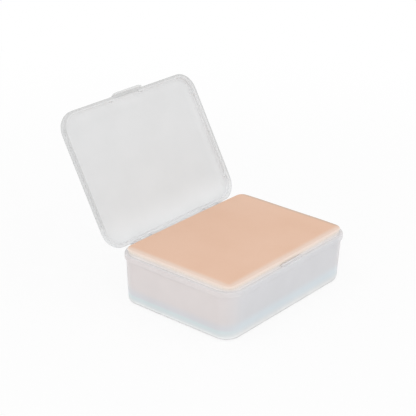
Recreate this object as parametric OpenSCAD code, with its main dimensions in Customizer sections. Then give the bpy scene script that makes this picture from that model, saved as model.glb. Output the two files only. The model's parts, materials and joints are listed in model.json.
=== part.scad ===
// Wet palette: a hinged, frosted box that holds a water reservoir, a foam pad and a painting sheet.
// Origin: middle of the tray's underside, on the table. X runs along the hinge, Y towards the
// hinge, Z up. The lid is drawn leaning back on its stops.

/* [Tray] */
// Width over the lip, along the hinge
box_w = 100; // [86:1:180]
// Depth over the lip, from front to hinge
box_d = 73; // [60:1:140]
// Height of the rim above the table
rim_h = 27; // [22:0.5:45]
// Plan radius of the lip's corners
corner_r = 10.6; // [8:0.2:14]
// Thickness of the tray's walls
wall_t = 1.2; // [1:0.05:1.5]
// Thickness of the tray's floor
floor_t = 1.2; // [0.9:0.05:2]
// How far the walls lean in from the rim down to the table
wall_draft = 1.25; // [0.5:0.05:1.6]
// How far the lip stands out of the wall
lip_out = 0.75; // [0.7:0.05:1.2]
// Height of the lip
lip_h = 2.9; // [2.2:0.1:4]
// Rounding along the lip's two outer edges
lip_round = 0.5; // [0.2:0.05:0.6]
// Rounding along the tray's bottom edge
foot_r = 2.8; // [2:0.1:4]

/* [Front catch] */
// Length of the catch that stands on the front rim
catch_w = 16; // [10:0.5:22]
// Thickness of the catch
catch_t = 0.8; // [0.6:0.05:1]
// Height of the catch above the rim
catch_h = 0.95; // [0.6:0.05:1.4]
// Room left round the catch in the closed lid
catch_gap = 0.3; // [0.2:0.05:0.4]

/* [Lid] */
// Height of the lid, from its free edge to its top
lid_h = 4.2; // [4.1:0.1:8]
// Gap between the closed lid and the rim
lid_gap = 0.2; // [0.1:0.05:0.4]
// Thickness of the lid's panel
panel_t = 1.3; // [1:0.05:1.4]
// Thickness of the lid's skirt
skirt_t = 1.4; // [1.3:0.05:1.6]
// Plan radius of the lid's corners
lid_corner_r = 10.4; // [8:0.2:14]
// Rounding along the lid's top edge
lid_edge_r = 2.2; // [0.6:0.1:2.3]
// How far the bead at the skirt's free edge stands inwards
bead_in = 0.6; // [0.3:0.05:0.7]
// Height of that bead
bead_h = 0.9; // [0.7:0.05:1.4]
// Radius of the small half-round ribs inside the skirt
rib_r = 1.1; // [1.05:0.05:1.15]
// Distance of the side ribs in front of and behind the middle
side_rib_y = 24.3; // [10:0.1:25]
// Distance of the front ribs from the middle
front_rib_x = 11.6; // [11.5:0.1:20]

/* [Finger tab] */
// Width of the tab where it leaves the skirt
tab_root_w = 23; // [20:0.5:30]
// Width of the tab's outer face
tab_w = 17.6; // [14:0.2:19]
// How far the tab stands out of the skirt
tab_out = 1.5; // [1.3:0.1:2.4]
// Height of the tab above the lid's free edge
tab_rise = 0.8; // [0.7:0.1:1.8]
// Distance that the tab hangs below the lid's free edge
tab_drop = 1.1; // [0.8:0.1:3]
// Gap between the tab and the tray's lip
tab_gap = 0.4; // [0.3:0.05:0.6]

/* [Hinge] */
// Distance of each hinge from the middle
hinge_x = 27; // [16:0.5:30]
// Distance of the hinge axis behind the lip
hinge_out = 0.75; // [0.6:0.05:1.1]
// Depth of the hinge axis below the rim
hinge_drop = 0.95; // [0.7:0.05:1.3]
// Radius of the hinge barrels
barrel_r = 1.65; // [1.5:0.05:1.8]
// Width of the lid's barrel in each hinge
knuckle_w = 8; // [5:0.5:12]
// Width of each of the tray's two ears in a hinge
ear_w = 3; // [2:0.25:4]
// Height of the ears down the wall
ear_h = 7.5; // [6.5:0.5:10]
// Gap at each end of a lid barrel
knuckle_gap = 0.2; // [0.1:0.05:0.4]
// Radius of the hinge pins
pin_r = 0.75; // [0.6:0.05:0.8]
// Radial play of a pin in the lid's barrel
pin_play = 0.05; // [0.02:0.01:0.09]
// Radial bite of the ears on a pin
pin_bite = 0.02; // [0.01:0.01:0.03]
// Depth of a pin's ends in the ears
pin_recess = 0.2; // [0.1:0.05:0.5]
// Angle of the open lid from closed
open_angle = 119.5; // [100:0.5:125]
// Length of the stop on each ear, from the hinge axis
stop_reach = 4; // [3:0.1:4.4]
// Thickness of the stop at its tip
stop_t = 0.8; // [0.6:0.1:1.2]
// Gap between the open lid and its stops
stop_gap = 0.05; // [0.02:0.01:0.1]
// Gap between the swinging lid's edge and the rail between the hinges
rail_clear = 0.2; // [0.15:0.05:0.4]

/* [Filling] */
// Thickness of the reservoir sponge
sponge_t = 5.7; // [4:0.1:9]
// Height that the filling stands above the rim
fill_proud = 2.75; // [1.5:0.05:2.9]
// Gap round the filling at its tightest place
fill_gap = 0.4; // [0.3:0.05:0.8]
// Plan radius of the pad's corners above the rim
pad_corner_r = 5; // [4.8:0.1:7]
// Rounding along the pad's top edge
pad_edge_r = 0.8; // [0.8:0.1:2]
// Thickness of the painting sheet
sheet_t = 0.35; // [0.3:0.05:0.6]
// Distance of the sheet's edge from the pad's side
sheet_inset = 0.6; // [0.4:0.1:2]

/* [Hidden] */

// Facets of the true round shapes, and of the soft pieces' corners
round_fn = 64;
soft_fn = 32;
// Straight steps in a rounded edge
edge_steps = 6;
// How far cuts run past a surface, and how deep joined pieces and ribs are set in
over = 1;
set_in = 0.5;
rib_set_in = 0.15;

half_w = box_w / 2;
half_d = box_d / 2;
lip_z = rim_h - lip_h;

// The tray's wall, measured outwards from the centre of the corner's radius
function wall_out(z) = corner_r - lip_out - wall_draft * (rim_h - z) / rim_h;
function wall_in(z) = wall_out(z) - wall_t;
cavity_r = foot_r - wall_t;

// The closed lid
lid_z0 = rim_h + lid_gap;
lid_z1 = lid_z0 + lid_h;
skirt_in = lid_corner_r - skirt_t;
bead_edge = skirt_in - bead_in;

// The hinge
axis_y = half_d + hinge_out;
axis_z = rim_h - hinge_drop;
ear_x = knuckle_w / 2 + knuckle_gap;
ear_root_y = half_d - lip_out - wall_t / 2;
pin_l = 2 * (ear_x + ear_w - pin_recess);
barrel_clear = 0.25;
// Directions in the Y-Z plane at the open lid's back: along the skirt, and out of it
skirt_dir = [sin(open_angle), cos(open_angle)];
skirt_out = [cos(open_angle), -sin(open_angle)];
stop_off_axis = hinge_out - stop_gap;
// The rail fills the round that the lower edge of the lid's skirt swings along
rail_r = norm([hinge_out, hinge_drop + lid_gap]) - rail_clear;

// The front catch
catch_y = half_d - lip_out - wall_t;

// The filling, from the floor up
sponge_z0 = floor_t;
sponge_z1 = sponge_z0 + sponge_t;
pad_z0 = sponge_z1;
pad_z1 = rim_h + fill_proud - sheet_t;
sponge_out = wall_in(sponge_z0) - fill_gap;
pad_out = wall_in(pad_z0) - fill_gap;

// Points along an arc
function arc(centre, r, from, to, steps = edge_steps) =
    [for (i = [0:steps])
        let (a = from + (to - from) * i / steps)
        centre + r * [cos(a), sin(a)]];

// A point on a stop's face, s from the hinge axis
function stop_point(s) = [axis_y, axis_z] + s * skirt_dir - stop_off_axis * skirt_out;

// A box whose sides and corners follow one upright outline of points [out, z], where out is
// measured from the centre of the corner's radius, which lies at [cx, cy]
module swept_box(cx, cy, outline, fn = round_fn) {
    z_low = outline[0][1];
    z_high = outline[len(outline) - 1][1];
    wedge = concat([[0, z_low]], outline, [[0, z_high]]);
    for (turn = [0:3]) {
        mx = turn == 0 || turn == 3 ? 1 : -1;
        my = turn < 2 ? 1 : -1;
        translate([mx * cx, my * cy, 0])
            rotate([0, 0, 90 * turn])
                rotate_extrude(angle = 90, $fn = fn) polygon(wedge);
    }
    rotate([90, 0, 90]) linear_extrude(2 * cx, center = true) mirrored_outline(cy, outline);
    rotate([90, 0, 0]) linear_extrude(2 * cy, center = true) mirrored_outline(cx, outline);
}

module mirrored_outline(c, outline) {
    last = len(outline) - 1;
    polygon(concat([for (p = outline) [c + p[0], p[1]]],
                   [for (i = [last:-1:0]) [-c - outline[i][0], outline[i][1]]]));
}

// Places its children in both hinges
module at_hinges() {
    for (side = [-1, 1]) translate([side * hinge_x, 0, 0]) children();
}

// A rod along X, centred on the hinge axis
module axis_rod(r, l) {
    translate([0, axis_y, axis_z]) rotate([0, 90, 0])
        cylinder(h = l, r = r, center = true, $fn = round_fn);
}

// A plate of outline [y, z] points, from x to x + w
module upright_plate(x, w, points) {
    translate([x, 0, 0]) rotate([90, 0, 90]) linear_extrude(w) polygon(points);
}

// Swings its children from closed to open
module open_lid() {
    translate([0, axis_y, axis_z]) rotate([-open_angle, 0, 0])
        translate([0, -axis_y, -axis_z]) children();
}

module tray_outside() {
    foot = arc([wall_out(foot_r) - foot_r, foot_r], foot_r, -90, 0);
    lip_c = corner_r - lip_round;
    lip = concat(arc([lip_c, lip_z + lip_round], lip_round, -90, 0, 3),
                 arc([lip_c, rim_h - lip_round], lip_round, 0, 90, 3));
    swept_box(half_w - corner_r, half_d - corner_r,
              concat(foot, [[wall_out(lip_z), lip_z]], lip));
}

module tray_cavity() {
    foot = arc([wall_in(floor_t + cavity_r) - cavity_r, floor_t + cavity_r], cavity_r, -90, 0);
    swept_box(half_w - corner_r, half_d - corner_r,
              concat(foot, [[wall_in(rim_h), rim_h], [wall_in(rim_h), rim_h + over]]));
}

// One of the tray's ears, with the stop that the open lid leans on
module ear(x) {
    tip = stop_point(stop_reach);
    upright_plate(x, ear_w, [[ear_root_y, rim_h - ear_h],
                             tip + stop_t * skirt_out,
                             tip,
                             stop_point(barrel_r / 2),
                             [axis_y, axis_z],
                             [axis_y - barrel_r / 2, rim_h - lip_round],
                             [ear_root_y, rim_h - lip_round]]);
    translate([x + ear_w / 2, 0, 0]) axis_rod(barrel_r, ear_w);
}

module base_tray() {
    color([0.87, 0.88, 0.89, 0.6])
    difference() {
        union() {
            difference() {
                tray_outside();
                tray_cavity();
                at_hinges() axis_rod(barrel_r + barrel_clear, 2 * ear_x);
            }
            at_hinges() {
                ear(ear_x);
                ear(-ear_x - ear_w);
            }
            axis_rod(rail_r, 2 * (hinge_x - ear_x - ear_w / 2));
            translate([-catch_w / 2, -catch_y - catch_t, rim_h - set_in])
                cube([catch_w, catch_t, set_in + catch_h]);
        }
        at_hinges() axis_rod(pin_r - pin_bite, 2 * (ear_x + ear_w + over));
    }
}

module lid_shell() {
    cx = half_w - lid_corner_r;
    cy = half_d - lid_corner_r;
    top = arc([lid_corner_r - lid_edge_r, lid_z1 - lid_edge_r], lid_edge_r, 0, 90);
    panel_z = lid_z1 - panel_t;
    difference() {
        swept_box(cx, cy, concat([[lid_corner_r, lid_z0]], top));
        swept_box(cx, cy, [[bead_edge, lid_z0 - over],
                           [bead_edge, lid_z0 + bead_h],
                           [skirt_in, lid_z0 + bead_h + bead_in],
                           [skirt_in, panel_z]]);
    }
}

// The small ribs that stiffen the skirt beside the tab and near the corners
module skirt_ribs() {
    rib_h = lid_h - panel_t + rib_set_in;
    side_x = half_w - lid_corner_r + skirt_in;
    front_y = half_d - lid_corner_r + skirt_in;
    for (mx = [-1, 1]) {
        for (my = [-1, 1])
            translate([mx * side_x, my * side_rib_y, lid_z0])
                cylinder(h = rib_h, r = rib_r, $fn = soft_fn);
        translate([mx * front_rib_x, -front_y, lid_z0])
            cylinder(h = rib_h, r = rib_r, $fn = soft_fn);
    }
}

// The finger tab, a short thick lip along the front skirt's free edge
module finger_tab() {
    outer_y = -half_d - tab_out;
    inner_y = -half_d - tab_gap;
    bottom = lid_z0 - tab_drop;
    corner = 0.6;
    slope = (tab_root_w - tab_w) / 2 / tab_out;
    difference() {
        translate([0, 0, bottom]) linear_extrude(tab_drop + tab_rise)
            polygon([[-tab_root_w / 2, -half_d + set_in],
                     [-tab_root_w / 2, -half_d],
                     [-tab_w / 2 - corner * slope, outer_y + corner],
                     [-tab_w / 2 + corner, outer_y],
                     [tab_w / 2 - corner, outer_y],
                     [tab_w / 2 + corner * slope, outer_y + corner],
                     [tab_root_w / 2, -half_d],
                     [tab_root_w / 2, -half_d + set_in]]);
        translate([-tab_root_w, inner_y, bottom - over])
            cube([2 * tab_root_w, tab_out + over, tab_drop + over]);
    }
}

// One of the lid's barrels, with the web that joins it to the skirt
module knuckle() {
    web_top = lid_z1 - lid_edge_r;
    upright_plate(-knuckle_w / 2, knuckle_w,
                  [[axis_y, axis_z],
                   [axis_y + 0.7 * barrel_r, axis_z],
                   [half_d, web_top],
                   [half_d - set_in, web_top],
                   [half_d - set_in, lid_z0 + set_in]]);
    axis_rod(barrel_r, knuckle_w);
}

module closed_lid() {
    pocket_y = catch_y + catch_t + catch_gap;
    difference() {
        union() {
            lid_shell();
            skirt_ribs();
            finger_tab();
            at_hinges() knuckle();
        }
        at_hinges() {
            axis_rod(pin_r + pin_play, knuckle_w + over);
            for (side = [-1, 1])
                translate([side * (ear_x + ear_w / 2), 0, 0])
                    axis_rod(barrel_r + barrel_clear, ear_w + 2 * knuckle_gap);
        }
        translate([-catch_w / 2 - catch_gap, -pocket_y, lid_z0 - over])
            cube([catch_w + 2 * catch_gap, pocket_y - catch_y + over,
                  over + catch_h + catch_gap - lid_gap]);
    }
}

module lid() {
    color([0.88, 0.88, 0.88, 0.6]) open_lid() closed_lid();
}

module hinge_pin(side) {
    color([0.75, 0.76, 0.78]) translate([side * hinge_x, 0, 0]) axis_rod(pin_r, pin_l);
}

module hinge_pin_left() {
    hinge_pin(-1);
}

module hinge_pin_right() {
    hinge_pin(1);
}

// The white layer on the floor that holds the water
module reservoir_sponge() {
    foot = arc([sponge_out - cavity_r, sponge_z0 + cavity_r], cavity_r, -90, 0);
    color([0.93, 0.94, 0.94])
        swept_box(half_w - corner_r, half_d - corner_r, concat(foot, [[sponge_out, sponge_z1]]));
}

// The pad that wicks the water up. Its corners are squeezed rounder down in the tray
module foam_pad() {
    inset = corner_r - pad_out;
    top_edge = arc([pad_corner_r - pad_edge_r, pad_z1 - pad_edge_r], pad_edge_r, 0, 90);
    color([0.95, 0.87, 0.8]) hull() {
        swept_box(half_w - corner_r, half_d - corner_r,
                  [[pad_out, pad_z0], [pad_out, pad_z0 + set_in]], soft_fn);
        swept_box(half_w - inset - pad_corner_r, half_d - inset - pad_corner_r, top_edge, soft_fn);
    }
}

// The thin sheet that paint is mixed on
module palette_sheet() {
    inset = corner_r - pad_out + pad_corner_r;
    sheet_r = pad_corner_r - sheet_inset;
    color([0.9, 0.74, 0.64])
        swept_box(half_w - inset, half_d - inset, [[sheet_r, pad_z1], [sheet_r, pad_z1 + sheet_t]]);
}

base_tray();
lid();
hinge_pin_left();
hinge_pin_right();
reservoir_sponge();
foam_pad();
palette_sheet();
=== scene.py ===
"""Wet palette: a hinged, frosted box with a sponge, a foam pad and a painting sheet.

The two mouldings are smooth shells lofted from the same sizes as the CAD, the filling is soft
meshes in the places of its plain solids, and the steel pins are the CAD's own.
Lengths are written in millimetres and scaled to metres where a mesh is made.
"""

import json
import math

import bmesh
import bpy
import numpy as np
from mathutils import Matrix, Vector, noise


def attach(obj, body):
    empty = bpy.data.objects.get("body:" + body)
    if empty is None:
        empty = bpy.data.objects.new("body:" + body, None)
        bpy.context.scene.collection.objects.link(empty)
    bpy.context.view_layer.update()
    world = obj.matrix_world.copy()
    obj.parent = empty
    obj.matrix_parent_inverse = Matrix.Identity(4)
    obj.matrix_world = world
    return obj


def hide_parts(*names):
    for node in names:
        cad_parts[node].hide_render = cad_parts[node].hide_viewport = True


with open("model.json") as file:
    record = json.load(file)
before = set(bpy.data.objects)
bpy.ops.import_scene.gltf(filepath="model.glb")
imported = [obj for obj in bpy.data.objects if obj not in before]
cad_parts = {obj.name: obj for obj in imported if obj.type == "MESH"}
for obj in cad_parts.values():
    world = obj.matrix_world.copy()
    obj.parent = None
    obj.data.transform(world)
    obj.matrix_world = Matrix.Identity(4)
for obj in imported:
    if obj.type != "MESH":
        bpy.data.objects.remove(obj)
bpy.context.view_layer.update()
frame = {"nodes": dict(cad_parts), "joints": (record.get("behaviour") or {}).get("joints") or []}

MM = 0.001

# Tray
BOX_W, BOX_D, RIM_H = 100.0, 73.0, 27.0
CORNER_R = 10.6
WALL_T, FLOOR_T, WALL_DRAFT = 1.2, 1.2, 1.25
LIP_OUT, LIP_H, LIP_ROUND = 0.75, 2.9, 0.5
FOOT_R, RIM_IN_R = 2.8, 0.25
CATCH_W, CATCH_T, CATCH_H, CATCH_GAP = 16.0, 0.8, 0.95, 0.3
CATCH_ROOT, CATCH_ROUND = 0.5, 0.3

# Lid, as it lies closed
LID_H, LID_GAP, PANEL_T, SKIRT_T = 4.2, 0.2, 1.3, 1.4
LID_CORNER_R, LID_EDGE_R, LID_FOOT_R, PANEL_ROOT_R = 10.4, 2.2, 0.2, 0.8
BEAD_IN, BEAD_H = 0.6, 0.9
RIB_R, RIB_SET_IN, SIDE_RIB_Y, FRONT_RIB_X = 1.1, 0.15, 24.3, 11.6
TAB_ROOT_W, TAB_W, TAB_OUT, TAB_RISE, TAB_DROP, TAB_GAP = 23.0, 17.6, 1.5, 0.8, 1.1, 0.4
TAB_CORNER_R, TAB_EDGE_R, TAB_ROOT = 0.6, 0.35, 0.5

# Hinge
HINGE_X, HINGE_OUT, HINGE_DROP = 27.0, 0.75, 0.95
BARREL_R, BARREL_CLEAR, KNUCKLE_W, KNUCKLE_GAP = 1.65, 0.25, 8.0, 0.2
EAR_W, EAR_H = 3.0, 7.5
PIN_R, PIN_PLAY = 0.75, 0.05
STOP_REACH, STOP_T, STOP_GAP = 4.0, 0.8, 0.05
RAIL_CLEAR = 0.2
# The web between a barrel and the skirt: how far it reaches out past the axis, as a share of the
# barrel's radius, and how deep its root lies in the skirt
WEB_REACH, WEB_ROOT = 0.7, 0.5

# Filling
SPONGE_T, SPONGE_EDGE_R, FILL_PROUD, FILL_GAP = 5.7, 0.4, 2.75, 0.4
PAD_CORNER_R, PAD_RIM_CORNER_R, PAD_EDGE_R, PAD_FOOT_R = 3.6, 4.8, 0.8, 0.6
PAD_CROWN, PAD_BULGE, PAD_TOUCH_GAP, PAD_TOUCH_H, PAD_FREE_OUT = 0.2, 0.5, 0.12, 4, 0.1
# How uneven the pad's top is, in millimetres, and how much its bulge varies, as a share
PAD_UNEVEN, PAD_RIPPLE = 0.1, 0.15
SHEET_T, SHEET_INSET, SHEET_EDGE_T, SHEET_RIM = 0.35, 0.6, 0.12, 2.0

# Sides of the round tools, and how far a tool reaches past the face that it cuts or joins
ROD_SIDES, RIB_SIDES, PAST = 48, 24, 1
# The angle between faces below which they look smooth, and how much large faces count in that
SMOOTH_BELOW, NORMAL_WEIGHT = math.radians(33), 80

HALF_W, HALF_D = BOX_W / 2, BOX_D / 2
LIP_Z = RIM_H - LIP_H
LID_Z0 = RIM_H + LID_GAP
LID_Z1 = LID_Z0 + LID_H
AXIS_Y, AXIS_Z = HALF_D + HINGE_OUT, RIM_H - HINGE_DROP
HINGE = frame["joints"][0]
OPEN_ANGLE = math.radians(HINGE["range_deg"][1])

# How much of the light each moulding stops, and how much darker its cloudy spots are
TRAY_ALPHA, LID_ALPHA, CLOUDINESS = 0.7, 0.55, 0.03

# Tints in sRGB, from 0 to 255
# The tray's sides, front and rear (warmer and cooler: painted light as it falls on each), and rim,
# its foot (painted light from the floor), beside the sponge (painted light of the sponge showing
# through), and a painted shade line at the sponge's top
SIDE_WARM_LIGHT_TINT, FRONT_COOL_LIGHT_TINT, RIM_TINT = (248, 241, 240), (241, 241, 244), (241, 238, 238)
FOOT_FLOOR_LIGHT_TINT, SIDE_SPONGE_LIGHT_TINT, SHADE_LINE_TINT = (255, 255, 255), (240, 250, 252), (241, 240, 244)
# The tray's front and rear beside the sponge, with the same painted light of the sponge showing
# through
FRONT_SPONGE_LIGHT_TINT = (242, 250, 255)
SPONGE_HOLE_SHADE_TINT, SPONGE_WALL_TINT = (188, 204, 214), (232, 240, 244)
LID_TINT, LID_EDGE_LIGHT_TINT, LID_LOW_LIGHT_TINT = (227, 228, 229), (234, 235, 236), (241, 242, 243)
SKIRT_TINT, SKIRT_IN_LIGHT_TINT, TAB_TINT = (210, 211, 211), (240, 241, 242), (228, 229, 229)
FOAM_TINT, FOAM_PIT_SHADE_TINT, FOAM_WARM_TINT = (246, 237, 228), (238, 224, 211), (243, 231, 220)
FOAM_TOP_TINT, FOAM_RIM_SHADE_TINT = (241, 222, 210), (237, 233, 231)
SHEET_TINT, SHEET_DEEP_TINT = (231, 191, 165), (228, 187, 160)
SHEET_PALE_TINT, SHEET_EDGE_PALE_AND_LIT_TINT = (237, 203, 181), (235, 212, 197)
SHEET_DAMP_AND_SHADE_TINT = (205, 180, 160)
STEEL_TINT, STEEL_DULL_TINT = (232, 233, 235), (212, 213, 216)

# Where colours change, in millimetres: up the tray from the floor, across the lid's edge (from so
# far outside the skirt, over a length), up the open lid (painted light), up the pad near the rim
# (painted shade) and below its top, and in from the sheet's left and front edges and from its right
# edge (partly painted light and shade)
TRAY_RAMP = 30
LID_RAMP_FROM, LID_RAMP = 2.0, 12.0
LID_LOW_LIGHT_MM = (RIM_H + 1, RIM_H + 14)
PAD_RIM_SHADE_MM, PAD_TOP_MM = (RIM_H - 0.2, RIM_H + 1.4), 1.2
FADE_MM, DAMP_AND_SHADE_MM = (0.2, 3.9), (0.4, 3.4)

# Stage, in metres where no unit is named: lamps are (place, size, watts), and the floor turns
# white over FLOOR_FADE
WHITE, FLOOR_GREY = (1, 1, 1, 1), (0.9, 0.9, 0.9, 1)
FLOOR_WHITE, WORLD_LEVEL, FLOOR_FADE, FLOOR_REACH_MM = 0.86, 0.85, (0.12, 0.45), 3000
AIM = Vector((0, 0, 0.03))
LAMPS = {
    "key": ((-0.5, 0.25, 1.1), 0.8, 1.0),
    "side": ((-1.1, -0.5, 0.5), 0.7, 1.6),
    "fill": ((0.5, -1.0, 0.6), 0.8, 1.3),
}
CAMERA_AT = Vector((-0.47632, -0.36570, 0.30801))
AZIMUTH, ELEVATION, ROLL = (math.radians(a) for a in (-51.0995, 23.6529, 1.2404))
SENSOR_W, LENS = 36, 113.16


def wall_out(z):
    """The outside of the tray's wall, measured from the centre of the corner's radius."""
    return CORNER_R - LIP_OUT - WALL_DRAFT * (RIM_H - z) / RIM_H


def wall_in(z):
    """The inside of the wall, measured in the same way."""
    return wall_out(z) - WALL_T


def arc(cx, cz, r, start, end, steps=8):
    """Points along an arc, from one angle in degrees to another."""
    angles = np.radians(np.linspace(start, end, steps + 1))
    return [(cx + r * math.cos(a), cz + r * math.sin(a)) for a in angles]


def straight(a, b, steps):
    """Points from a to b, without a itself."""
    return [(a[0] + (b[0] - a[0]) * i / steps, a[1] + (b[1] - a[1]) * i / steps)
            for i in range(1, steps + 1)]


# ---------------------------------------------------------------- meshes

class Plan:
    """A rounded rectangle that can be grown outwards, as rows of points that all match.

    cx and cy are the centres of its corners. corner, across and along are the steps in half a
    corner and along the straight sides.
    """

    def __init__(self, cx, cy, corner=5, across=30, along=22):
        self.cx, self.cy, self.corner = cx, cy, corner
        self.across, self.along = across, along
        nx, ny = across + 2 * corner, along + 2 * corner
        self.nx, self.ny = nx, ny
        self.loop = ([(i, 0) for i in range(nx)] + [(nx, j) for j in range(ny)]
                     + [(i, ny) for i in range(nx, 0, -1)] + [(0, j) for j in range(ny, 0, -1)])

    def lines(self, c, out, steps):
        """Places along one axis, over the straight part from -c to c and the corners beyond it."""
        t = np.tan(np.radians(45 * np.arange(1, self.corner + 1) / self.corner))
        return np.concatenate([-(c + out * t[::-1]), np.linspace(-c, c, steps + 1), c + out * t])

    def grid(self, out):
        """Points over the whole area, (nx + 1, ny + 1, 2)."""
        x, y = np.meshgrid(self.lines(self.cx, out, self.across),
                           self.lines(self.cy, out, self.along), indexing="ij")
        dx, dy = np.abs(x) - self.cx, np.abs(y) - self.cy
        both = (dx > 0) & (dy > 0)
        share = np.where(both, np.maximum(dx, dy) / np.maximum(np.hypot(dx, dy), 1e-9), 1)
        x = np.where(both, np.sign(x) * (self.cx + dx * share), x)
        y = np.where(both, np.sign(y) * (self.cy + dy * share), y)
        return np.stack([x, y], -1)

    def ring(self, out):
        """The grid's border, as one closed row of points."""
        g = self.grid(out)
        return np.array([g[i, j] for i, j in self.loop])


def mesh_object(name, points, faces):
    """A new object from points in millimetres."""
    mesh = bpy.data.meshes.new(name)
    mesh.from_pydata((np.asarray(points, float) * MM).tolist(), [], faces)
    obj = bpy.data.objects.new(name, mesh)
    bpy.context.scene.collection.objects.link(obj)
    bm = bmesh.new()
    bm.from_mesh(mesh)
    bmesh.ops.recalc_face_normals(bm, faces=bm.faces)
    bm.to_mesh(mesh)
    bm.free()
    return obj


def loft(name, plan, path, plans=None, deform=None):
    """A closed body whose skin follows path, a list of (out, z), with a flat grid at each end.

    plans may give a Plan of its own for each row of the path, and deform moves all points.
    """
    points, faces, rows = [], [], []
    plans = plans or [plan] * len(path)
    for at, (out, z) in zip(plans, path):
        rows.append(len(points))
        points += [(x, y, z) for x, y in at.ring(out)]
    n = len(plan.loop)
    for a, b in zip(rows, rows[1:]):
        faces += [(a + i, a + (i + 1) % n, b + (i + 1) % n, b + i) for i in range(n)]
    for row, at, (out, z) in ((rows[0], plans[0], path[0]), (rows[-1], plans[-1], path[-1])):
        index = {ij: row + k for k, ij in enumerate(plan.loop)}
        grid = at.grid(out)
        for i in range(1, plan.nx):
            for j in range(1, plan.ny):
                index[i, j] = len(points)
                points.append((*grid[i, j], z))
        faces += [(index[i, j], index[i + 1, j], index[i + 1, j + 1], index[i, j + 1])
                  for i in range(plan.nx) for j in range(plan.ny)]
    return mesh_object(name, deform(points) if deform else points, faces)


def plate(name, x0, x1, outline):
    """An upright plate of outline [(y, z), ...], from x0 to x1."""
    n = len(outline)
    points = [(x, y, z) for x in (x0, x1) for y, z in outline]
    faces = [tuple(range(n)), tuple(range(n, 2 * n))]
    faces += [(i, (i + 1) % n, n + (i + 1) % n, n + i) for i in range(n)]
    return mesh_object(name, points, faces)


def column(name, outline, z0, z1):
    """An upright column of outline [(x, y), ...]."""
    n = len(outline)
    points = [(x, y, z) for z in (z0, z1) for x, y in outline]
    faces = [tuple(range(n)), tuple(range(n, 2 * n))]
    faces += [(i, (i + 1) % n, n + (i + 1) % n, n + i) for i in range(n)]
    return mesh_object(name, points, faces)


def block(name, low, high):
    """A tool with square faces, between two corners."""
    (x0, y0, z0), (x1, y1, z1) = low, high
    return plate(name, x0, x1, [(y0, z0), (y1, z0), (y1, z1), (y0, z1)])


def rod(name, r, x0, x1):
    """A rod along the hinge axis."""
    turn = 2 * math.pi / ROD_SIDES
    return plate(name, x0, x1, [(AXIS_Y + r * math.cos(i * turn), AXIS_Z + r * math.sin(i * turn))
                                for i in range(ROD_SIDES)])


def combine(body, tools, operation):
    """Adds the tools to a body, or cuts them from it, and removes them."""
    bpy.context.view_layer.update()
    for tool in tools:
        step = body.modifiers.new("join", "BOOLEAN")
        step.operation, step.solver, step.object = operation, "EXACT", tool
        graph = bpy.context.evaluated_depsgraph_get()
        mesh = bpy.data.meshes.new_from_object(body.evaluated_get(graph))
        body.modifiers.remove(step)
        old, body.data = body.data, mesh
        mesh.name = body.name
        bpy.data.meshes.remove(old)
        bpy.data.objects.remove(tool)


def shade(obj):
    """Smooth faces with sharp edges above an angle, flat faces kept flat."""
    obj.data.shade_smooth()
    obj.data.set_sharp_from_angle(angle=SMOOTH_BELOW)
    step = obj.modifiers.new("weighted", "WEIGHTED_NORMAL")
    step.keep_sharp = True
    step.weight = NORMAL_WEIGHT


def inside(x, y, half_w, half_d, r):
    """How far a point lies inside a rounded rectangle."""
    dx, dy = abs(x) - (half_w - r), abs(y) - (half_d - r)
    return r - math.hypot(max(dx, 0), max(dy, 0)) - min(max(dx, dy), 0)


def note_distance(obj, name, distance):
    """Keeps distance(x, y) in millimetres on every point, for the material."""
    values = obj.data.attributes.new(name, "FLOAT", "POINT").data
    for point, value in zip(obj.data.vertices, values):
        value.value = distance(point.co.x / MM, point.co.y / MM)


def at_hinges(make):
    """Calls make(x) for both hinges, and returns all that it made."""
    return [piece for side in (-1, 1) for piece in make(side * HINGE_X)]


# ---------------------------------------------------------------- tray

def stop_point(s, out=0.0):
    """A point s along the open lid's back face, out away from the lid."""
    along = (math.sin(OPEN_ANGLE), math.cos(OPEN_ANGLE))
    away = (math.cos(OPEN_ANGLE), -math.sin(OPEN_ANGLE))
    out -= HINGE_OUT - STOP_GAP
    return (AXIS_Y + s * along[0] + out * away[0], AXIS_Z + s * along[1] + out * away[1])


def ear(x):
    """One of the tray's ears, from x on, with the stop for the open lid."""
    root_y = HALF_D - LIP_OUT - WALL_T / 2
    outline = [(root_y, RIM_H - EAR_H), stop_point(STOP_REACH, STOP_T), stop_point(STOP_REACH),
               stop_point(BARREL_R / 2), (AXIS_Y, AXIS_Z),
               (AXIS_Y - BARREL_R / 2, RIM_H - LIP_ROUND), (root_y, RIM_H - LIP_ROUND)]
    return [plate("ear", x, x + EAR_W, outline), rod("ear", BARREL_R, x, x + EAR_W)]


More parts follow.
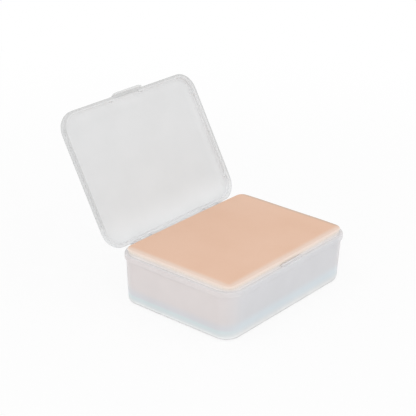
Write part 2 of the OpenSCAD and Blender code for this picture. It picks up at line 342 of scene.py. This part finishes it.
def make_tray():
    """The tray: a thin shell with a lip, hinge ears, the rail between them, and the catch."""
    plan = Plan(HALF_W - CORNER_R, HALF_D - CORNER_R)
    cavity_r = FOOT_R - WALL_T
    foot = arc(wall_out(FOOT_R) - FOOT_R, FOOT_R, FOOT_R, -90, 0)
    under_lip = (wall_out(LIP_Z), LIP_Z)
    lip_c = CORNER_R - LIP_ROUND
    lip = (arc(lip_c, LIP_Z + LIP_ROUND, LIP_ROUND, -90, 0, 4)
           + arc(lip_c, RIM_H - LIP_ROUND, LIP_ROUND, 0, 90, 4))
    inner = arc(wall_in(RIM_H) + RIM_IN_R, RIM_H - RIM_IN_R, RIM_IN_R, 90, 180, 3)
    inner_foot = arc(wall_in(FLOOR_T + cavity_r) - cavity_r, FLOOR_T + cavity_r, cavity_r,
                     0, -90, 6)
    path = foot + straight(foot[-1], under_lip, 8) + lip + inner
    path += straight(inner[-1], inner_foot[0], 8) + inner_foot[1:]
    tray = loft("tray", plan, path)
    ear_x = KNUCKLE_W / 2 + KNUCKLE_GAP
    combine(tray, at_hinges(lambda x: [rod("notch", BARREL_R + BARREL_CLEAR, x - ear_x,
                                           x + ear_x)]), "DIFFERENCE")
    combine(tray, at_hinges(lambda x: ear(x + ear_x) + ear(x - ear_x - EAR_W)), "UNION")
    rail_r = math.hypot(HINGE_OUT, HINGE_DROP + LID_GAP) - RAIL_CLEAR
    rail_x = HINGE_X - ear_x - EAR_W / 2
    combine(tray, [rod("rail", rail_r, -rail_x, rail_x)], "UNION")
    catch_y = HALF_D - LIP_OUT - WALL_T
    catch = plate("catch", -CATCH_W / 2, CATCH_W / 2,
                  [(-catch_y, RIM_H - CATCH_ROOT), (-catch_y - CATCH_T, RIM_H - CATCH_ROOT)]
                  + arc(-catch_y - CATCH_T + CATCH_ROUND, RIM_H + CATCH_H - CATCH_ROUND,
                        CATCH_ROUND, 180, 90, 4)
                  + [(-catch_y, RIM_H + CATCH_H)])
    combine(tray, [catch], "UNION")
    reach = ear_x + EAR_W + PAST
    combine(tray, at_hinges(lambda x: [rod("bore", PIN_R, x - reach, x + reach)]), "DIFFERENCE")
    return tray


# ---------------------------------------------------------------- lid

def finger_tab():
    """The tab, a short thick lip along the front skirt's free edge, with soft edges."""
    outer, inner, bottom = -HALF_D - TAB_OUT, -HALF_D - TAB_GAP, LID_Z0 - TAB_DROP
    slope = (TAB_ROOT_W - TAB_W) / 2 / TAB_OUT
    corner, edge, height = TAB_CORNER_R, TAB_EDGE_R, TAB_DROP + TAB_RISE
    # Half of the tab's outline seen from above, from the skirt outwards
    end = [(TAB_ROOT_W / 2, -HALF_D + TAB_ROOT), (TAB_ROOT_W / 2, -HALF_D)]
    end += [(TAB_W / 2 + corner * slope * (1 - t) ** 2 - corner * t ** 2,
             outer + corner * (1 - t) ** 2) for t in (0, 0.2, 0.4, 0.6, 0.8, 1.0)]
    outline = [(-x, y) for x, y in end] + end[::-1]
    tab = column("tab", outline, bottom, bottom + height)
    combine(tab, [block("room", (-TAB_ROOT_W, inner, bottom - PAST),
                        (TAB_ROOT_W, -HALF_D + 2 * PAST, LID_Z0))], "DIFFERENCE")
    # The tab's long section is cut to one with rounded outer edges
    section = ([(-HALF_D + PAST, bottom)] + arc(outer + edge, bottom + edge, edge, 270, 180, 4)
               + arc(outer + edge, bottom + height - edge, edge, 180, 90, 4)
               + [(-HALF_D + PAST, bottom + height)])
    combine(tab, [plate("round", -TAB_ROOT_W, TAB_ROOT_W, section)], "INTERSECT")
    return tab


def knuckle(x):
    """One of the lid's barrels, with the web that joins it to the skirt."""
    web_top = LID_Z1 - LID_EDGE_R
    outline = [(AXIS_Y, AXIS_Z), (AXIS_Y + WEB_REACH * BARREL_R, AXIS_Z), (HALF_D, web_top),
               (HALF_D - WEB_ROOT, web_top), (HALF_D - WEB_ROOT, LID_Z0 + WEB_ROOT)]
    x0, x1 = x - KNUCKLE_W / 2, x + KNUCKLE_W / 2
    return [plate("web", x0, x1, outline), rod("barrel", BARREL_R, x0, x1)]


def skirt_ribs(cx, cy, skirt_in):
    """The small half-round ribs inside the skirt."""
    turns = np.linspace(0, 2 * math.pi, RIB_SIDES, endpoint=False)
    places = [(mx * (cx + skirt_in), my * SIDE_RIB_Y) for mx in (-1, 1) for my in (-1, 1)]
    places += [(mx * FRONT_RIB_X, -cy - skirt_in) for mx in (-1, 1)]
    return [column("rib", [(x + RIB_R * math.cos(t), y + RIB_R * math.sin(t)) for t in turns],
                   LID_Z0, LID_Z1 - PANEL_T + RIB_SET_IN) for x, y in places]


def make_lid():
    """The lid, made as it lies closed and then turned to where the frame has it at rest."""
    cx, cy = HALF_W - LID_CORNER_R, HALF_D - LID_CORNER_R
    plan = Plan(cx, cy)
    skirt_in, panel_z, edge = LID_CORNER_R - SKIRT_T, LID_Z1 - PANEL_T, LID_FOOT_R
    bead = skirt_in - BEAD_IN
    top = arc(LID_CORNER_R - LID_EDGE_R, LID_Z1 - LID_EDGE_R, LID_EDGE_R, 90, 0)
    foot = arc(LID_CORNER_R - edge, LID_Z0 + edge, edge, 0, -90, 3)
    foot += arc(bead + edge, LID_Z0 + edge, edge, -90, -180, 3)
    rise = [(bead, LID_Z0 + BEAD_H), (skirt_in, LID_Z0 + BEAD_H + BEAD_IN)]
    roof = arc(skirt_in - PANEL_ROOT_R, panel_z - PANEL_ROOT_R, PANEL_ROOT_R, 0, 90, 4)
    path = top + straight(top[-1], foot[0], 3) + foot[1:] + rise
    path += straight(rise[-1], roof[0], 2) + roof[1:]
    lid = loft("lid_shell", plan, path)
    combine(lid, skirt_ribs(cx, cy, skirt_in) + [finger_tab()], "UNION")
    combine(lid, at_hinges(knuckle), "UNION")
    ear_mid = KNUCKLE_W / 2 + KNUCKLE_GAP + EAR_W / 2
    half = EAR_W / 2 + KNUCKLE_GAP
    cuts = at_hinges(lambda x: [rod("notch", BARREL_R + BARREL_CLEAR, x + side * ear_mid - half,
                                    x + side * ear_mid + half) for side in (-1, 1)])
    cuts += at_hinges(lambda x: [rod("bore", PIN_R + PIN_PLAY, x - KNUCKLE_W, x + KNUCKLE_W)])
    catch_y = HALF_D - LIP_OUT - WALL_T
    half_catch = CATCH_W / 2 + CATCH_GAP
    cuts.append(block("pocket", (-half_catch, -catch_y - CATCH_T - CATCH_GAP, LID_Z0 - PAST),
                      (half_catch, -catch_y + PAST, RIM_H + CATCH_H + CATCH_GAP)))
    combine(lid, cuts, "DIFFERENCE")
    note_distance(lid, "edge_mm", lambda x, y: inside(x, y, HALF_W, HALF_D, LID_CORNER_R))
    hinge = Vector(HINGE["pos_m"])
    lid.data.transform(Matrix.Translation(hinge) @ Matrix.Rotation(-OPEN_ANGLE, 4, "X")
                       @ Matrix.Translation(-hinge))
    return lid


# ---------------------------------------------------------------- filling

def make_sponge():
    """The layer that holds the water, a low block with soft edges."""
    r, edge = FOOT_R - WALL_T, SPONGE_EDGE_R
    out, edge_z = wall_in(FLOOR_T) - FILL_GAP, FLOOR_T + SPONGE_T - edge
    path = arc(out - r, FLOOR_T + r, r, -90, 0, 6)
    path += straight(path[-1], (out, edge_z), 3)
    path += arc(out - edge, edge_z, edge, 0, 90, 3)[1:]
    return loft("sponge_layer", Plan(HALF_W - CORNER_R, HALF_D - CORNER_R), path)


PAD_Z0, PAD_Z1 = FLOOR_T + SPONGE_T, RIM_H + FILL_PROUD - SHEET_T
PAD_SIDE = wall_in(PAD_Z0) - FILL_GAP + PAD_FREE_OUT
PAD_HALF_W, PAD_HALF_D = HALF_W - CORNER_R + PAD_SIDE, HALF_D - CORNER_R + PAD_SIDE
PAD_PLAN = {"corner": 6, "across": 44, "along": 32}
# Heights at which the pad stops touching the walls, stands free of the rim, and starts to get
# squarer corners, and the rows of points that it has there, as heights above the rim
HELD_Z, FREE_Z, SQUARE_Z = RIM_H - 0.4, RIM_H + 0.15, RIM_H + 1.1
RIM_ROWS = (-0.2, 0, 0.15, 0.6, 1.1, 1.35)


def unevenness(points, scale, layer):
    """Smooth noise over the plan, one value for each point. A layer is a pattern of its own."""
    return np.array([noise.noise(Vector((x * scale, y * scale, layer))) for x, y, _ in points])


def swell(points):
    """The wet pad's soft shape: its top is crowned, and its free sides bulge between corners."""
    p = np.asarray(points, float)
    across = np.clip(p[:, 0] / PAD_HALF_W, -1, 1)
    along = np.clip(p[:, 1] / PAD_HALF_D, -1, 1)
    height = p[:, 2]
    up = np.clip((height - PAD_Z0) / (PAD_Z1 - PAD_Z0), 0, 1)
    dome = (1 - across ** 4) * (1 - along ** 4)
    p[:, 2] += (PAD_CROWN * dome + PAD_UNEVEN * unevenness(p, 0.05, 3.7)) * up ** 6
    bulge = np.interp(height, (HELD_Z, FREE_Z), (0, PAD_BULGE))
    bulge = bulge * (1 + PAD_RIPPLE * unevenness(p, 0.09, 8.1))
    p[:, 0] += np.sign(across) * bulge * np.abs(across) ** 8 * (1 - along ** 6)
    p[:, 1] += np.sign(along) * bulge * np.abs(along) ** 8 * (1 - across ** 6)
    return p


def make_pad():
    """The pad: pressed against the tray's walls, narrower and squarer above the rim."""
    path, plans = [], []
    corner, top_z = CORNER_R, PAD_Z1 - PAD_EDGE_R

    def row(inset, z):
        """Adds a row of points at a height, set in from the pad's side."""
        gap = np.interp(z, (PAD_Z0, PAD_Z0 + PAD_TOUCH_H), (FILL_GAP, PAD_TOUCH_GAP))
        held = wall_in(z) - gap
        side = np.interp(z, (HELD_Z, FREE_Z), (held, PAD_SIDE))
        r = np.interp(z, (HELD_Z, FREE_Z, SQUARE_Z, top_z),
                      (side, PAD_RIM_CORNER_R, PAD_RIM_CORNER_R, PAD_CORNER_R))
        plans.append(Plan(HALF_W - corner + side - r, HALF_D - corner + side - r, **PAD_PLAN))
        path.append((r - inset, z))

    for out, z in arc(-PAD_FOOT_R, PAD_Z0 + PAD_FOOT_R, PAD_FOOT_R, -90, 0, 4):
        row(-out, z)
    for z in (*np.linspace(PAD_Z0 + PAD_FOOT_R, HELD_Z, 10)[1:],
              *(RIM_H + above for above in RIM_ROWS), top_z):
        row(0, z)
    for out, z in arc(-PAD_EDGE_R, top_z, PAD_EDGE_R, 0, 90, 8)[1:]:
        row(-out, z)
    return loft("soft_pad", plans[0], path, plans, swell)


def edge_distance(x, y):
    """How far a point lies inside the pad's outline."""
    return inside(x, y, PAD_HALF_W, PAD_HALF_D, PAD_CORNER_R)


def near_distance(x, y):
    """The same, but from the left and front edges alone."""
    return inside(x - PAD_HALF_D, y - PAD_HALF_D,
                  PAD_HALF_W + PAD_HALF_D, 2 * PAD_HALF_D, PAD_CORNER_R)


def make_sheet():
    """The painting sheet, which lies on the pad and bends down over its edge."""
    r = PAD_CORNER_R - SHEET_INSET
    plan = Plan(PAD_HALF_W - PAD_CORNER_R, PAD_HALF_D - PAD_CORNER_R, **PAD_PLAN)

    def lay(points):
        """Bends the flat sheet down over the pad's edge, and gives it the pad's soft shape."""
        p = np.asarray(points, float)
        depth = np.array([min(edge_distance(x, y), PAD_EDGE_R) for x, y, _ in p])
        p[:, 2] -= PAD_EDGE_R - np.sqrt(PAD_EDGE_R ** 2 - (PAD_EDGE_R - depth) ** 2)
        return swell(p)

    steps = np.linspace(0, 1, 7)
    over = [(r - SHEET_RIM + SHEET_RIM * s, PAD_Z1 + SHEET_T + (SHEET_EDGE_T - SHEET_T) * s ** 3)
            for s in steps]
    under = [(r - SHEET_RIM * s, PAD_Z1) for s in steps]
    sheet = loft("top_sheet", plan, over + under, deform=lay)
    note_distance(sheet, "near_mm", near_distance)
    note_distance(sheet, "right_mm", lambda x, y: PAD_HALF_W - x)
    return sheet


# ---------------------------------------------------------------- materials

def linear(*srgb):
    """A colour written as 0-255 in sRGB, in the linear values that shaders take."""
    return tuple(((c / 255 + 0.055) / 1.055) ** 2.4 for c in srgb) + (1,)


class Shader:
    """A material, with short calls that add nodes to it."""

    def __init__(self, name, **values):
        self.material = bpy.data.materials.new(name)
        self.material.use_nodes = True
        self.tree = self.material.node_tree
        self.surface = self.tree.nodes["Principled BSDF"]
        self.set(self.surface, {k.replace("_", " "): v for k, v in values.items()})

    def set(self, node, values):
        """Sets a node's inputs, to a value or to another node's output."""
        for key, value in values.items():
            if isinstance(value, bpy.types.NodeSocket):
                self.tree.links.new(value, node.inputs[key])
            else:
                node.inputs[key].default_value = value

    def add(self, kind, values=None, **settings):
        """Adds a node of a kind, and returns it."""
        node = self.tree.nodes.new("ShaderNode" + kind)
        for key, value in settings.items():
            setattr(node, key, value)
        self.set(node, values or {})
        return node

    def place(self, output="Object"):
        """Where a point lies on its own object, or the way its surface faces."""
        return self.add("TexCoord").outputs[output]

    def noise(self, scale, detail=2.0, roughness=0.5):
        """Noise over the object, with scale in turns per metre."""
        return self.add("TexNoise", {"Vector": self.place(), "Scale": scale, "Detail": detail,
                                     "Roughness": roughness}).outputs["Fac"]

    def cells(self, scale):
        """Distances from the middles of small cells."""
        return self.add("TexVoronoi", {"Vector": self.place(), "Scale": scale}).outputs["Distance"]

    def math(self, operation, a, b=0.0):
        """One step of arithmetic."""
        return self.add("Math", {0: a, 1: b}, operation=operation).outputs[0]

    def remap(self, value, low, high, to_low=0.0, to_high=1.0):
        """A smooth step from one value to another while a value goes from low to high."""
        return self.add("MapRange", {"Value": value, "From Min": low, "From Max": high,
                                     "To Min": to_low, "To Max": to_high},
                        interpolation_type="SMOOTHSTEP").outputs[0]

    def mix(self, share, a, b, blend="MIX"):
        """The colour a, turning to b as share goes to 1."""
        node = self.add("Mix", data_type="RGBA", blend_type=blend)
        self.set(node, {0: share, 6: a, 7: b})
        return node.outputs[2]

    def ramp(self, value, *stops):
        """A smooth change of colour, from stops of (place from 0 to 1, colour)."""
        node = self.add("ValToRGB", {"Fac": value})
        node.color_ramp.interpolation = "EASE"
        marks = node.color_ramp.elements
        for i, (at, colour) in enumerate(stops):
            mark = marks[i] if i < len(marks) else marks.new(at)
            mark.position, mark.color = at, colour
        return node.outputs["Color"]

    def bump(self, height, distance_mm, strength=1.0, before=None):
        """A normal bent by a height, on top of the bump that comes before it."""
        values = {"Height": height, "Distance": distance_mm * MM, "Strength": strength}
        if before is not None:
            values["Normal"] = before
        return self.add("Bump", values).outputs["Normal"]

    def to(self, **values):
        """Sets the surface's inputs, with _ for a space in their names, and gives the material."""
        self.set(self.surface, {k.replace("_", " "): v for k, v in values.items()})
        return self.material


def frosted(shader, colour):
    """The finish that both mouldings share: a fine matt grain and a slight cloudiness."""
    clouds = shader.remap(shader.noise(60, 3), 0.3, 0.7, 1 - CLOUDINESS, 1)
    grey = shader.add("CombineColor", {0: clouds, 1: clouds, 2: clouds}).outputs[0]
    grain = shader.bump(shader.noise(2600, 2, 0.6), distance_mm=0.02)
    waves = shader.bump(shader.noise(140, 2), distance_mm=0.05, strength=0.5, before=grain)
    return shader.to(
        Base_Color=shader.mix(1.0, colour, grey, "MULTIPLY"),
        Roughness=shader.remap(shader.noise(300, 3), 0.3, 0.7, 0.4, 0.5),
        Normal=waves,
    )


def tray_material():
    """Frosted plastic with painted light: white at the foot from the floor's light, bluish low down
    where the wet sponge shows through, a painted shade line at the sponge's top, and warmer sides
    and cooler front and rear as the light falls on each.
    """
    shader = Shader("frosted_tray", Alpha=TRAY_ALPHA, IOR=1.49)
    z = shader.add("SeparateXYZ", {0: shader.place()}).outputs["Z"]
    up = shader.math("DIVIDE", z, TRAY_RAMP * MM)
    # Up the wall, painted light: white at the foot from the floor's light, bluish where the wet
    # sponge shows through, then a painted shade line at the sponge's top
    side = shader.ramp(up, (0.02, linear(*FOOT_FLOOR_LIGHT_TINT)), (0.16, linear(*SIDE_SPONGE_LIGHT_TINT)),
                       (0.22, linear(*SHADE_LINE_TINT)), (0.36, linear(*SIDE_WARM_LIGHT_TINT)),
                       (0.88, linear(*SIDE_WARM_LIGHT_TINT)), (0.92, linear(*RIM_TINT)))
    front = shader.ramp(up, (0.06, linear(*FOOT_FLOOR_LIGHT_TINT)), (0.22, linear(*FRONT_SPONGE_LIGHT_TINT)),
                        (0.38, linear(*FRONT_COOL_LIGHT_TINT)), (0.88, linear(*FRONT_COOL_LIGHT_TINT)),
                        (0.92, linear(*RIM_TINT)))
    # Painted light: the sides warmer and the front and rear cooler, as the light falls on each
    faces = shader.add("SeparateXYZ", {0: shader.place("Normal")}).outputs["X"]
    return frosted(shader, shader.mix(shader.math("ABSOLUTE", faces), front, side))


def lid_material():
    """Greyer over the skirt, where light crosses more of the plastic, with painted light just
    inside it, where the inner corner lies in shade, and low on the open lid by the hinge, where the
    tray shades it.
    """
    shader = Shader("frosted_lid", Alpha=LID_ALPHA, IOR=1.49)
    edge = shader.add("Attribute", attribute_name="edge_mm").outputs["Fac"]
    z = shader.add("SeparateXYZ", {0: shader.place()}).outputs["Z"]
    across = shader.math("DIVIDE", shader.math("ADD", edge, LID_RAMP_FROM), LID_RAMP)
    # Painted light just inside the skirt, where the inner corner and the bead lie in shade
    colour = shader.ramp(across, (0.11, linear(*TAB_TINT)), (0.16, linear(*SKIRT_TINT)),
                         (0.24, linear(*SKIRT_TINT)), (0.31, linear(*SKIRT_IN_LIGHT_TINT)),
                         (0.40, linear(*LID_EDGE_LIGHT_TINT)), (0.92, linear(*LID_TINT)))
    # Painted light low on the open lid, by the hinge, where the tray shades it
    low = shader.remap(z, *(at * MM for at in LID_LOW_LIGHT_MM), 1.0, 0.0)
    return frosted(shader, shader.mix(low, colour, linear(*LID_LOW_LIGHT_TINT)))


def foam_material():
    """Fine open-celled foam: small pits of two sizes, the pits darker with painted shade and the
    ribs paler, and greyer below the rim with painted shade and the grey wall's painted reflection.
    """
    shader = Shader("cream_foam", IOR=1.4)
    cells, pits = shader.cells(1500), shader.noise(3400, 3, 0.6)
    pit_shade = shader.remap(cells, 0.1, 0.75)
    patch = shader.remap(shader.noise(90, 3), 0.3, 0.7)
    # Painted shade: the pits darker than the ribs between them
    colour = shader.mix(pit_shade, linear(*FOAM_TINT), linear(*FOAM_PIT_SHADE_TINT))
    colour = shader.mix(shader.math("MULTIPLY", patch, 0.5), colour, linear(*FOAM_WARM_TINT))
    z = shader.add("SeparateXYZ", {0: shader.place()}).outputs["Z"]
    # Painted shade: the pad's side greyer below the rim, where it lies in the narrow gap by the
    # grey wall
    free = shader.remap(z, *(at * MM for at in PAD_RIM_SHADE_MM))
    top = shader.remap(z, (PAD_Z1 - PAD_TOP_MM) * MM, PAD_Z1 * MM)
    colour = shader.mix(free, linear(*FOAM_RIM_SHADE_TINT), colour)
    colour = shader.mix(top, colour, linear(*FOAM_TOP_TINT))
    coarse = shader.bump(cells, distance_mm=0.12, strength=0.6)
    fine = shader.bump(pits, distance_mm=0.05, strength=0.6, before=coarse)
    return shader.to(Base_Color=colour, Roughness=shader.remap(pits, 0.3, 0.7, 0.8, 0.95),
                     Normal=fine, Sheen_Weight=0.15, Sheen_Roughness=0.5)


def sponge_material():
    """The coarser cellulose sponge of the reservoir, with round holes of several sizes, darkened
    with painted shade.
    """
    shader = Shader("pale_sponge", IOR=1.4)
    small, large = shader.cells(900), shader.cells(320)
    holes = shader.math("MULTIPLY", shader.remap(small, 0.0, 0.45),
                        shader.remap(large, 0.0, 0.35, 0.3, 1.0))
    # Painted shade in the holes
    colour = shader.mix(holes, linear(*SPONGE_HOLE_SHADE_TINT), linear(*SPONGE_WALL_TINT))
    return shader.to(Base_Color=colour, Roughness=shader.remap(small, 0.0, 0.6, 0.95, 0.8),
                     Normal=shader.bump(holes, distance_mm=0.3, strength=0.8))


def sheet_material():
    """Damp matt paper, peach, paler at the left and front edges (partly its colour, partly a
    painted highlight) and darker along the right one (partly damper paper, partly painted shade).
    """
    shader = Shader("peach_sheet", IOR=1.45)
    ragged = shader.math("MULTIPLY", shader.math("SUBTRACT", shader.noise(70, 3), 0.5), 0.5)
    near, right = (shader.math("ADD", ragged, shader.add(
        "Attribute", attribute_name=name).outputs["Fac"]) for name in ("near_mm", "right_mm"))
    # Paler by the left and front edges: partly the paper's colour, partly a painted highlight where
    # it bends over the pad
    inner = shader.remap(near, *FADE_MM)
    # Darker along the right edge: partly damper paper, partly painted shade
    damp_and_shade = shader.remap(right, *DAMP_AND_SHADE_MM, 1.0, 0.0)
    fibres, clouds = shader.noise(2200, 4, 0.7), shader.noise(28, 4, 0.55)
    colour = shader.mix(shader.remap(clouds, 0.3, 0.7), linear(*SHEET_TINT),
                        linear(*SHEET_DEEP_TINT))
    colour = shader.mix(shader.remap(fibres, 0.35, 0.65, 0.0, 0.25), colour,
                        linear(*SHEET_PALE_TINT))
    colour = shader.mix(damp_and_shade, colour, linear(*SHEET_DAMP_AND_SHADE_TINT))
    colour = shader.mix(inner, linear(*SHEET_EDGE_PALE_AND_LIT_TINT), colour)
    fine = shader.bump(fibres, distance_mm=0.025, strength=0.8)
    waves = shader.bump(clouds, distance_mm=0.25, strength=0.6, before=fine)
    return shader.to(Base_Color=colour, Roughness=shader.remap(clouds, 0.3, 0.7, 0.55, 0.7),
                     Normal=waves)


def steel_material():
    """Drawn steel pins, with fine rings and a few dull patches."""
    shader = Shader("pin_steel", Metallic=1.0)
    x = shader.add("SeparateXYZ", {0: shader.place()}).outputs["X"]
    rings = shader.add("TexNoise", {"W": shader.math("MULTIPLY", x, 4000.0), "Scale": 1.0},
                       noise_dimensions="1D").outputs["Fac"]
    dull = shader.remap(shader.noise(500, 3), 0.3, 0.7)
    return shader.to(Base_Color=shader.mix(dull, linear(*STEEL_TINT), linear(*STEEL_DULL_TINT)),
                     Roughness=shader.remap(dull, 0.0, 1.0, 0.22, 0.36),
                     Normal=shader.bump(rings, distance_mm=0.01, strength=0.5))


# ---------------------------------------------------------------- the object

tray = make_tray()
lid = make_lid()
sponge = make_sponge()
pad = make_pad()
sheet = make_sheet()

for piece, body, node, slot, material in (
    (tray, "tray", "base_tray", "tray_plastic", tray_material()),
    (lid, "lid", "lid", "lid_plastic", lid_material()),
    (sponge, "tray", "reservoir_sponge", "sponge", sponge_material()),
    (pad, "tray", "foam_pad", "foam", foam_material()),
    (sheet, "tray", "palette_sheet", "sheet", sheet_material()),
):
    shade(piece)
    piece.data.materials.clear()
    piece.data.materials.append(material)
    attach(piece, body)
    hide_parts(node)

steel = steel_material()
for name in ("hinge_pin_left", "hinge_pin_right"):
    mesh = frame["nodes"][name].data
    mesh.materials.clear()
    mesh.materials.append(steel)

# ---------------------------------------------------------------- stage, light, camera

scene = bpy.context.scene
scene.view_settings.view_transform = "Standard"


def floor_material():
    """Pale card that keeps a faint soft shadow for the camera, and turns white further out."""
    shader = Shader("floor_card", Roughness=0.9)
    away = shader.add("VectorMath", {0: shader.place()}, operation="LENGTH").outputs["Value"]
    white = shader.remap(away, *FLOOR_FADE, FLOOR_WHITE, 1.0)
    paths = shader.add("LightPath").outputs
    seen = shader.math("MAXIMUM", paths["Is Camera Ray"], paths["Is Transmission Ray"])
    shader.to(Base_Color=FLOOR_GREY)
    glow = shader.add("Emission", {"Color": WHITE, "Strength": 1.0}).outputs[0]
    both = shader.add("MixShader", {0: shader.math("MULTIPLY", seen, white),
                                    1: shader.surface.outputs[0], 2: glow}).outputs[0]
    shader.set(shader.tree.nodes["Material Output"], {"Surface": both})
    return shader.material


def make_world():
    """White where the camera sees it, also in gloss and through plastic, and dimmer as light."""
    world = bpy.data.worlds.new("studio")
    world.use_nodes = True
    tree = world.node_tree
    paths = tree.nodes.new("ShaderNodeLightPath").outputs
    seen = paths["Is Camera Ray"]
    for other in ("Is Glossy Ray", "Is Transmission Ray"):
        join = tree.nodes.new("ShaderNodeMath")
        join.operation = "MAXIMUM"
        tree.links.new(seen, join.inputs[0])
        tree.links.new(paths[other], join.inputs[1])
        seen = join.outputs[0]
    level = tree.nodes.new("ShaderNodeMapRange")
    level.inputs["To Min"].default_value, level.inputs["To Max"].default_value = WORLD_LEVEL, 1
    tree.links.new(seen, level.inputs["Value"])
    background = tree.nodes["Background"]
    background.inputs["Color"].default_value = WHITE
    tree.links.new(level.outputs[0], background.inputs["Strength"])
    return world


def softbox(name, at, size, watts):
    """A round white lamp that points at the object."""
    light = bpy.data.lights.new(name, "AREA")
    light.shape, light.size, light.energy = "DISK", size, watts
    obj = bpy.data.objects.new(name, light)
    obj.matrix_world = (Matrix.Translation(at)
                        @ (Vector(at) - AIM).to_track_quat("Z", "Y").to_matrix().to_4x4())
    scene.collection.objects.link(obj)


floor = mesh_object("floor", [(sx * FLOOR_REACH_MM, sy * FLOOR_REACH_MM, 0) for sx, sy in
                              ((-1, -1), (1, -1), (1, 1), (-1, 1))], [(0, 1, 2, 3)])
floor.data.materials.append(floor_material())
scene.world = make_world()
for name, lamp in LAMPS.items():
    softbox(name, *lamp)

camera = bpy.data.objects.new("camera", bpy.data.cameras.new("camera"))
scene.collection.objects.link(camera)
camera.data.sensor_width, camera.data.lens = SENSOR_W, LENS
camera.matrix_world = (Matrix.Translation(CAMERA_AT) @ Matrix.Rotation(AZIMUTH, 4, "Z")
                       @ Matrix.Rotation(math.pi / 2 - ELEVATION, 4, "X")
                       @ Matrix.Rotation(ROLL, 4, "Z"))
scene.camera = camera
